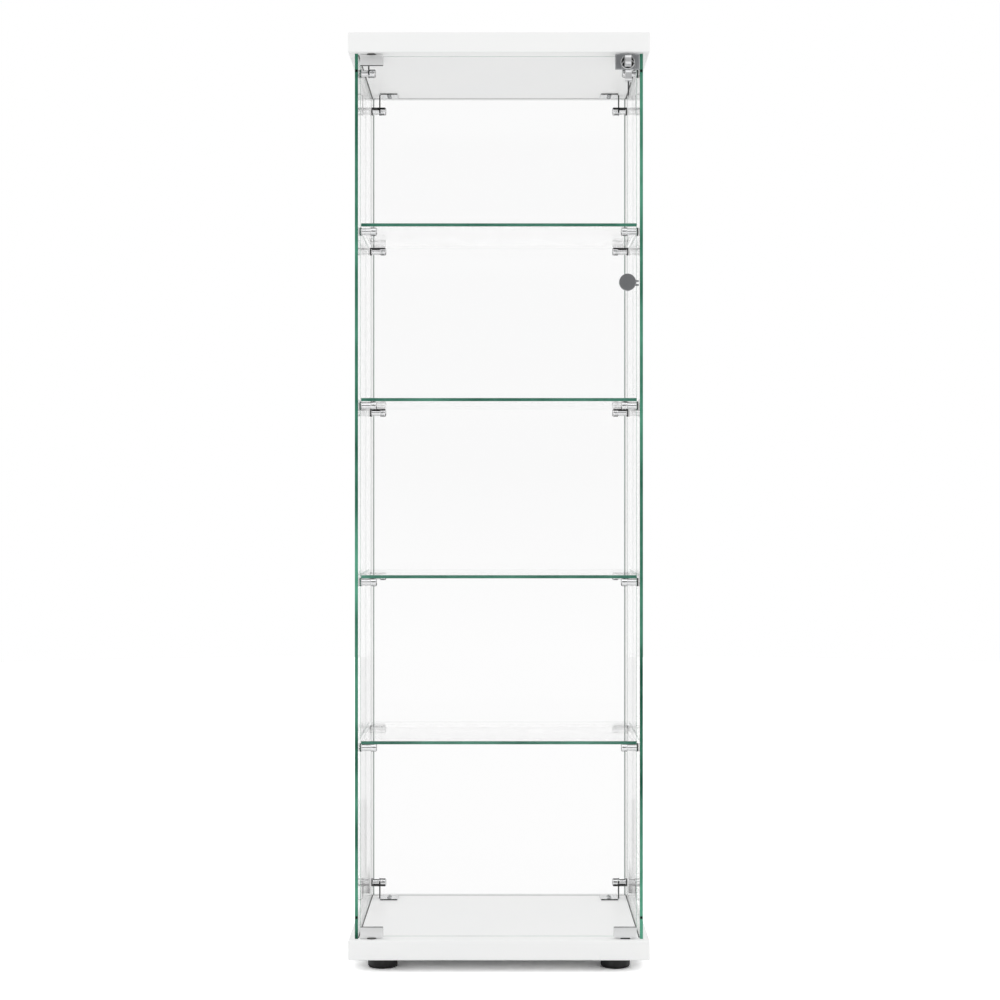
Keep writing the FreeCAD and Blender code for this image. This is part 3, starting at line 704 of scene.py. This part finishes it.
# %% Corner seals
SEAL_PLAY = 0.05
SEAL_WIDTH = 1.8
seal_half = SEAL_WIDTH / 2
back_depth = (back_high.y - back_low.y) / MM
seal_section = arc(0, seal_half, seal_half, 180, 360) + [(seal_half, back_depth), (-seal_half, back_depth)]
work = bmesh.new()
for side in (-1, 1):
    middle_x = side * (back_high.x / MM + SEAL_PLAY + seal_half)
    plate(work, seal_section,
          lambda a, b, d: Vector((middle_x + a, back_front + b, base_top + d)) * MM,
          top_under - base_top)
piece("rear_corner_seals", work, "case", pale_seal)

# %% [markdown]
# ## Softened castings and folded sheet
# The clamps, the lock's plate, housing and cam, and the knob's clip have flat faces and crisp corners in the
# frame. Real ones are tumbled, cast or stamped, so their corners are slightly round. The node's own mesh is
# joined up, its flat faces merged, and every corner rounded by a fraction of a millimetre.

# %% Softened copies
FLAT = math.radians(1)
SHARP_CORNER = math.radians(28)


def softened(node, round_mm, body, finish):
    """A copy of a node with its corners rounded."""
    work = bmesh.new()
    work.from_mesh(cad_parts[node].data)
    bmesh.ops.remove_doubles(work, verts=work.verts, dist=WELD)
    bmesh.ops.dissolve_limit(work, angle_limit=FLAT, verts=work.verts, edges=work.edges)
    sharp = [e for e in work.edges if len(e.link_faces) == 2 and e.calc_face_angle(0) > SHARP_CORNER]
    bmesh.ops.bevel(work, geom=sharp, offset=round_mm * MM, **ROUNDING)
    piece(node + "_softened", work, body, finish, [node])


for clamp in CLAMPS:
    softened(clamp, 0.35, "door", satin_zinc)
softened("knob_clip", 0.2, "door", turned_steel)
softened("lock_case", 0.35, "door", cast_zinc)
softened("lock_rear_housing", 0.4, "door", cast_zinc)
softened("lock_cam", 0.2, "plug", bright_zinc)

# %% [markdown]
# ## Knob and lock barrel
# The knob is turned from bar: a thick disc with a flat face and broken edges, on a short stem. The lock's
# barrel is a bright rim round a recess, with a lip at the plug and a thin black disc on the recess floor.
# Both go on the lathe, facing the front.

# %% Knob
STEM_RADIUS = 4
DISC = 6
BACK_EDGE = 0.5
FACE_EDGE = 0.3
FACE_RING = 0.8
TO_FRONT = (0, -1, 0)
FITTING_STEPS = 72


def lathe_place(node):
    """The middle of a round node's rear end, its radius and its reach to the front, in millimetres."""
    low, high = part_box(node)
    rear = Vector(((low.x + high.x) / 2, high.y, (low.z + high.z) / 2))
    return rear, (high.x - low.x) / 2 / MM, (high.y - low.y) / MM


rear, radius, reach = lathe_place("door_knob")
disc_back = reach - DISC
profile = [(0, 0), (0, STEM_RADIUS), (disc_back, STEM_RADIUS), (disc_back, radius - BACK_EDGE),
           (disc_back + BACK_EDGE, radius), (reach - FACE_EDGE, radius), (reach, radius - FACE_EDGE),
           (reach, radius - FACE_RING), (reach, 0)]
work = bmesh.new()
turn(work, profile, rear, TO_FRONT, steps=FITTING_STEPS, rim_mm=0.1)
piece("turned_knob", work, "door", turned_steel, ["door_knob"])

# %% Barrel and the black disc in its recess
PLUG_PLAY = 0.05
BARREL_EDGE = 0.5
RIM = 1.3
LIP = 0.6
RECESS = 1.2
BLACK_DISC = 0.3
rear, radius, reach = lathe_place("lock_barrel")
bore = lathe_place("lock_plug")[1] + PLUG_PLAY
recess_floor = reach - RECESS
profile = [(0, bore), (0, radius), (reach - BARREL_EDGE, radius), (reach, radius - BARREL_EDGE),
           (reach, radius - RIM), (recess_floor, radius - RIM), (recess_floor, bore + LIP),
           (reach, bore + LIP), (reach, bore), (0, bore)]
work = bmesh.new()
turn(work, profile, rear, TO_FRONT, steps=FITTING_STEPS, rim_mm=0.12)
piece("turned_barrel", work, "door", chrome_plate, ["lock_barrel"])

black_disc_top = recess_floor + BLACK_DISC
profile = [(recess_floor, bore + LIP), (recess_floor, radius - RIM), (black_disc_top, radius - RIM),
           (black_disc_top, bore + LIP), (recess_floor, bore + LIP)]
work = bmesh.new()
turn(work, profile, rear, TO_FRONT, steps=FITTING_STEPS, rim_mm=0.05)
piece("barrel_black_disc", work, "door", black_abs)

# %% [markdown]
# ## Screws behind the glass
# Grub screws press the clamps' linings on to the door, two to a clamp, and two screws hold the lock's
# housing. They are small, but from behind the case they tell how it is put together. Each is a profile on the
# lathe.

# %% Clamp and lock screws
GRUB_SCREW = [(0, 0), (0, 2), (1.0, 2), (1.0, 1.1), (0.2, 0.9), (0.2, 0)]
LOCK_SCREW = [(0, 0), (0, 2.2), (0.7, 2.1), (1.1, 1.4), (0.5, 0.6), (0.4, 0)]
LOCK_SCREW_IN = 3.4
LOCK_SCREW_DOWN = 4
TO_BACK = (0, 1, 0)
screws = bmesh.new()
for clamp in CLAMPS:
    low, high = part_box(clamp)
    lining_low, lining_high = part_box(clamp.replace("hinge_", "") + "_lining")
    for share in (0.25, 0.75):
        spot = Vector((low.x + share * (high.x - low.x), high.y, (lining_low.z + lining_high.z) / 2))
        turn(screws, GRUB_SCREW, spot, TO_BACK, steps=24, rim_mm=0.1)
piece("clamp_grub_screws", screws, "door", bright_zinc)

low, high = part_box("lock_rear_housing")
screw_z = (low.z + high.z) / 2 - LOCK_SCREW_DOWN * MM
screws = bmesh.new()
for screw_x in (low.x + LOCK_SCREW_IN * MM, high.x - LOCK_SCREW_IN * MM):
    turn(screws, LOCK_SCREW, Vector((screw_x, high.y, screw_z)), TO_BACK, steps=24, rim_mm=0.1)
piece("lock_housing_screws", screws, "door", bright_zinc)

# %% [markdown]
# ## Key grips
# A key's grip is a thick moulded plate with round corners, a little thicker where the blade goes in, and with
# an eye for the ring. Its outline is drawn with arcs, and each of its points is joined to a point on the eye,
# so that the flat sides need no difficult face with a hole in it. The rims are rounded last.

# %% Grip outline
RING_END = 5.0
BLADE_END = 2.8
GRIP_STEP = 0.8


def grip_outline(length, half):
    """A rounded outline from the ring's end to the blade's end, with a point about every GRIP_STEP."""
    corners = arc(RING_END, half - RING_END, RING_END, 180, 90)
    corners += arc(length - BLADE_END, half - BLADE_END, BLADE_END, 90, 0)
    corners += arc(length - BLADE_END, BLADE_END - half, BLADE_END, 0, -90)
    corners += arc(RING_END, RING_END - half, RING_END, -90, -180)
    outline = []
    for first, second in zip(corners, corners[1:] + corners[:1]):
        steps = max(1, round(math.dist(first, second) / GRIP_STEP))
        outline += [tuple(a + (b - a) * k / steps for a, b in zip(first, second)) for k in range(steps)]
    return outline


print("grip corners:", RING_END, "mm at the ring,", BLADE_END, "mm at the blade")

# %% Grips with an eye
GRIP_TAPER = 0.65
GRIP_RIM = 1.2
GRIP_CORNER = math.radians(60)
EYE = 1.7
ring_low, ring_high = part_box("key_ring")
eye_along = ((ring_low.y + ring_high.y) / 2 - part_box("key_head")[0].y) / MM


def make_grip(node, body, along, across):
    """A key's grip: along runs from the ring to the blade, across is the way it is widest."""
    low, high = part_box(node)
    along, across = Vector(along), Vector(across)
    length = abs((high - low).dot(along)) / MM
    half = abs((high - low).dot(across)) / 2 / MM
    far = (high.x - low.x) / 2 / MM
    ring_end = (low + high) / 2 - along * (length / 2 * MM)
    outline = grip_outline(length, half)
    angles = [math.atan2(b, a - eye_along) for a, b in outline]
    eye = [(eye_along + EYE * math.cos(t), EYE * math.sin(t)) for t in angles]

    def skin(points, side):
        thick = [side * (far - GRIP_TAPER * (1 - a / length)) for a, b in points]
        return [work.verts.new(ring_end + (along * a + across * b + Vector((t, 0, 0))) * MM)
                for (a, b), t in zip(points, thick)]

    work = bmesh.new()
    left_rim, left_eye = skin(outline, -1), skin(eye, -1)
    right_rim, right_eye = skin(outline, 1), skin(eye, 1)
    bands = ((left_rim, left_eye), (left_eye, right_eye), (right_eye, right_rim), (right_rim, left_rim))
    for i in range(len(outline)):
        j = (i + 1) % len(outline)
        for first, second in bands:
            work.faces.new((first[i], first[j], second[j], second[i]))
    rims = set(left_rim + right_rim)
    edges = [e for e in work.edges if set(e.verts) <= rims and e.calc_face_angle(0) > GRIP_CORNER]
    bmesh.ops.bevel(work, geom=edges, offset=GRIP_RIM * MM, **ROUNDING)
    piece(node + "_moulded", work, body, metallised_grip, [node])


make_grip("key_head", "key", (0, 1, 0), (0, 0, 1))
make_grip("spare_key_head", "spare_key", (0, 0, -1), (0, 1, 0))

# %% [markdown]
# ## Split ring
# A key ring is a strip of spring wire wound twice, so its two turns lie side by side. An eight-sided tube
# follows a helix of two turns, made wide enough to fill the wire of the frame's plain ring.

# %% Two turns of wire
TURNS = 2
TURN_STEPS = 72
WIRE_SIDES = 8
WIRE_HALF_WIDE = 0.34
WIRE_HALF_TALL = 0.5
WIRE_INSET = 0.53
TURN_PITCH = 1.1 * WIRE_HALF_WIDE
ring_centre = (ring_low + ring_high) / 2
ring_radius = (ring_high.z - ring_low.z) / 2 - WIRE_INSET * MM
work = bmesh.new()
loops = []
for i in range(TURNS * TURN_STEPS + 1):
    angle = 2 * math.pi * i / TURN_STEPS
    outward = Vector((math.sin(angle), 0, math.cos(angle)))
    forward = Vector((0, (i / TURN_STEPS - TURNS / 2) * TURN_PITCH * MM, 0))
    middle = ring_centre + outward * ring_radius + forward
    loop = []
    for k in range(WIRE_SIDES):
        around = 2 * math.pi * k / WIRE_SIDES
        tall = outward * math.cos(around) * WIRE_HALF_TALL
        wide = Vector((0, math.sin(around) * WIRE_HALF_WIDE, 0))
        loop.append(work.verts.new(middle + (tall + wide) * MM))
    loops.append(loop)
for first, second in zip(loops, loops[1:]):
    for k in range(WIRE_SIDES):
        n = (k + 1) % WIRE_SIDES
        work.faces.new((first[k], first[n], second[n], second[k]))
work.faces.new(loops[0])
work.faces.new(loops[-1][::-1])
piece("split_ring", work, "ring", bright_zinc, ["key_ring"])

# %% [markdown]
# ## Floor
# The case stands on white paper. The camera sees the paper burnt out to white, except where the base keeps
# light away, and through the panes it is as white as the backdrop. In chrome, paper alone would leave nothing
# to read, so mirrored rays find dark cloth on it, in a strip on either side behind the case. A ray counts as
# mirrored when it has met more mirrors than matt surfaces, so that boards seen in a pane keep their light.

# %% Floor mesh
FLOOR_RADIUS = 6.0
FLOOR_SIDES = 96
work = bmesh.new()
bmesh.ops.create_circle(work, cap_ends=True, radius=FLOOR_RADIUS, segments=FLOOR_SIDES)
floor_data = bpy.data.meshes.new("studio_floor")
work.to_mesh(floor_data)
work.free()
floor = bpy.data.objects.new("studio_floor", floor_data)
bpy.context.scene.collection.objects.link(floor)
print("floor radius", FLOOR_RADIUS, "m")

# %% Mirrored rays and where the cloth lies
CLOTH_SIDE = (0.165, 0.175)
CLOTH_MIDDLE = 0.85
CLOTH_REACH = (0.75, 0.7)
HALF_BOUNCE = 0.5


def mirrored_rays(tree, path):
    """1 where a ray has met more mirrors than matt surfaces, else 0. Bounces are counted in whole numbers."""
    limit = add(tree, "Math", {0: path.outputs["Diffuse Depth"], 1: HALF_BOUNCE}, operation="ADD")
    more = add(tree, "Math", {0: path.outputs["Glossy Depth"], 1: limit.outputs["Value"]},
               operation="GREATER_THAN")
    return more.outputs["Value"]


def cloth_area(tree):
    """1 on the two strips of floor where cloth lies, else 0, from limits in metres."""
    spot = add(tree, "SeparateXYZ", {"Vector": add(tree, "TexCoord").outputs["Object"]})
    aside = add(tree, "Math", {0: spot.outputs["X"]}, operation="ABSOLUTE")
    beside = add(tree, "MapRange", {"Value": aside.outputs["Value"], "From Min": CLOTH_SIDE[0],
                                    "From Max": CLOTH_SIDE[1]})
    off_middle = add(tree, "Math", {0: spot.outputs["Y"], 1: CLOTH_MIDDLE}, operation="SUBTRACT")
    off_size = add(tree, "Math", {0: off_middle.outputs["Value"]}, operation="ABSOLUTE")
    at_back = add(tree, "MapRange", {"Value": off_size.outputs["Value"], "From Min": CLOTH_REACH[0],
                                     "From Max": CLOTH_REACH[1]})
    both = add(tree, "Math", {0: beside.outputs["Result"], 1: at_back.outputs["Result"]},
               operation="MULTIPLY")
    return both.outputs["Value"]


print("cloth lies from", CLOTH_SIDE[0], "m aside")

# %% Paper and cloth
# Matt paper and matt cloth: an even white and a deep grey, without any gloss
PAPER_BOOST = 1.7
white_paper, tree = start("white_paper")
path = add(tree, "LightPath")
mirrored = mirrored_rays(tree, path)
paper = add(tree, "BsdfDiffuse", {"Color": linear("#F7F7F7")})
cloth = add(tree, "BsdfDiffuse", {"Color": linear("#202020")})
burnt_out = add(tree, "BsdfDiffuse", {"Color": (PAPER_BOOST, PAPER_BOOST, PAPER_BOOST, 1.0)})
white = add(tree, "Emission", {"Color": linear("#FFFFFF"), "Strength": 1.0})
cloth_share = add(tree, "Math", {0: cloth_area(tree), 1: mirrored}, operation="MULTIPLY")
plain = add(tree, "MixShader", {0: cloth_share.outputs["Value"], 1: paper.outputs["BSDF"],
                                2: cloth.outputs["BSDF"]})
seen = add(tree, "MixShader", {0: path.outputs["Is Camera Ray"], 1: plain.outputs["Shader"],
                               2: burnt_out.outputs["BSDF"]})
through_glass = add(tree, "Math", {0: path.outputs["Is Transmission Ray"], 1: mirrored},
                    operation="SUBTRACT", use_clamp=True)
final = add(tree, "MixShader", {0: through_glass.outputs["Value"], 1: seen.outputs["Shader"],
                                2: white.outputs["Emission"]})
add(tree, "OutputMaterial", {"Surface": final.outputs["Shader"]})
floor_data.materials.append(white_paper)
print("paper is boosted", PAPER_BOOST, "times for the camera")

# %% [markdown]
# ## Room
# The room is an even white, at a level that shows colours about as they are written, and a full white where
# it is looked at, mirrored or seen through glass. Mirrored rays also find a dark card high up behind the case
# and a dark cone about the photographer. Together they draw dark lines along the studs and keep the door free
# of a white haze.

# %% Dark card and photographer
CARD_BEHIND = (0.0, 0.2)
CARD_ABOVE = (0.34, 0.46)
CARD_ASIDE = (0.27, 0.18)
TO_PHOTOGRAPHER = (0, -0.946, 0.324)
CONE = (0.92, 0.95)


def dark_directions(tree):
    """1 in the directions of the card and of the photographer, else 0."""
    way = add(tree, "TexCoord").outputs["Generated"]
    axes = add(tree, "SeparateXYZ", {"Vector": way})
    behind = add(tree, "MapRange", {"Value": axes.outputs["Y"], "From Min": CARD_BEHIND[0],
                                    "From Max": CARD_BEHIND[1]})
    steep = add(tree, "MapRange", {"Value": axes.outputs["Z"], "From Min": CARD_ABOVE[0],
                                   "From Max": CARD_ABOVE[1]})
    aside = add(tree, "Math", {0: axes.outputs["X"]}, operation="ABSOLUTE")
    narrow = add(tree, "MapRange", {"Value": aside.outputs["Value"], "From Min": CARD_ASIDE[0],
                                    "From Max": CARD_ASIDE[1]})
    high_up = add(tree, "Math", {0: behind.outputs["Result"], 1: steep.outputs["Result"]},
                  operation="MULTIPLY")
    card = add(tree, "Math", {0: high_up.outputs["Value"], 1: narrow.outputs["Result"]}, operation="MULTIPLY")
    in_front = add(tree, "VectorMath", {0: way, 1: TO_PHOTOGRAPHER}, operation="DOT_PRODUCT")
    cone = add(tree, "MapRange", {"Value": in_front.outputs["Value"], "From Min": CONE[0],
                                  "From Max": CONE[1]})
    either = add(tree, "Math", {0: card.outputs["Value"], 1: cone.outputs["Result"]}, operation="MAXIMUM")
    return either.outputs["Value"]


print("card starts at", CARD_ABOVE[0], "of straight up")

# %% World
ROOM_LIGHT = 0.98
world = bpy.data.worlds.new("white_studio")
bpy.context.scene.world = world
world.use_nodes = True
tree = world.node_tree
tree.nodes.clear()
path = add(tree, "LightPath")
flag = add(tree, "Math", {0: dark_directions(tree), 1: mirrored_rays(tree, path)}, operation="MULTIPLY")
straight = add(tree, "Math", {0: path.outputs["Is Camera Ray"], 1: path.outputs["Is Transmission Ray"]},
               operation="MAXIMUM")
backdrop = add(tree, "Math", {0: straight.outputs["Value"], 1: path.outputs["Is Glossy Ray"]},
               operation="MAXIMUM")
room = add(tree, "Background", {"Color": linear("#FFFFFF"), "Strength": ROOM_LIGHT})
white = add(tree, "Background", {"Color": linear("#FFFFFF"), "Strength": 1.0})
dark = add(tree, "Background", {"Color": linear("#141414"), "Strength": 1.0})
even = add(tree, "MixShader", {0: backdrop.outputs["Value"], 1: room.outputs["Background"],
                               2: white.outputs["Background"]})
final = add(tree, "MixShader", {0: flag.outputs["Value"], 1: even.outputs["Shader"],
                                2: dark.outputs["Background"]})
add(tree, "OutputWorld", {"Surface": final.outputs["Shader"]})
print("room light", ROOM_LIGHT)

# %% [markdown]
# ## Softbox
# A large soft lamp, high and in front, gives the top board a gentle lead over the base, as studio lights do.
# A small lamp would do that as well, but only one of real size keeps the shadows soft.

# %% Softbox
SOFTBOX_PLACE = Vector((0, -2.4, 3.2))
SOFTBOX_AIM = Vector((0, 0, 0.7))
softbox = bpy.data.lights.new("high_softbox", "AREA")
softbox.shape = "RECTANGLE"
softbox.size = 2.6
softbox.size_y = 1.8
softbox.energy = 7
lamp = bpy.data.objects.new("high_softbox", softbox)
lamp.location = SOFTBOX_PLACE
lamp.rotation_euler = (SOFTBOX_AIM - SOFTBOX_PLACE).to_track_quat("-Z", "Y").to_euler()
bpy.context.scene.collection.objects.link(lamp)
print("softbox", softbox.energy, "W")

# %% [markdown]
# ## Camera
# The photograph was taken from straight in front, at half the case's height and three metres away, with a
# lens long enough to keep the verticals upright. A tiny shift puts the middle of the case where it is in the
# frame.

# %% Camera
camera_data = bpy.data.cameras.new("front_camera")
camera_data.sensor_width = 36
camera_data.lens = 76.93
camera_data.shift_x = -0.0023
camera_data.shift_y = 0.0027
camera = bpy.data.objects.new("front_camera", camera_data)
camera.location = (0.0048, -3.1885, 0.662)
camera.rotation_euler = (math.radians(90), 0, 0)
bpy.context.scene.collection.objects.link(camera)
bpy.context.scene.camera = camera
bpy.context.scene.view_settings.view_transform = "Standard"
print("lens", camera_data.lens, "mm")

# %% [markdown]
# ## Close the scene

# %% Finish
bpy.context.view_layer.update()
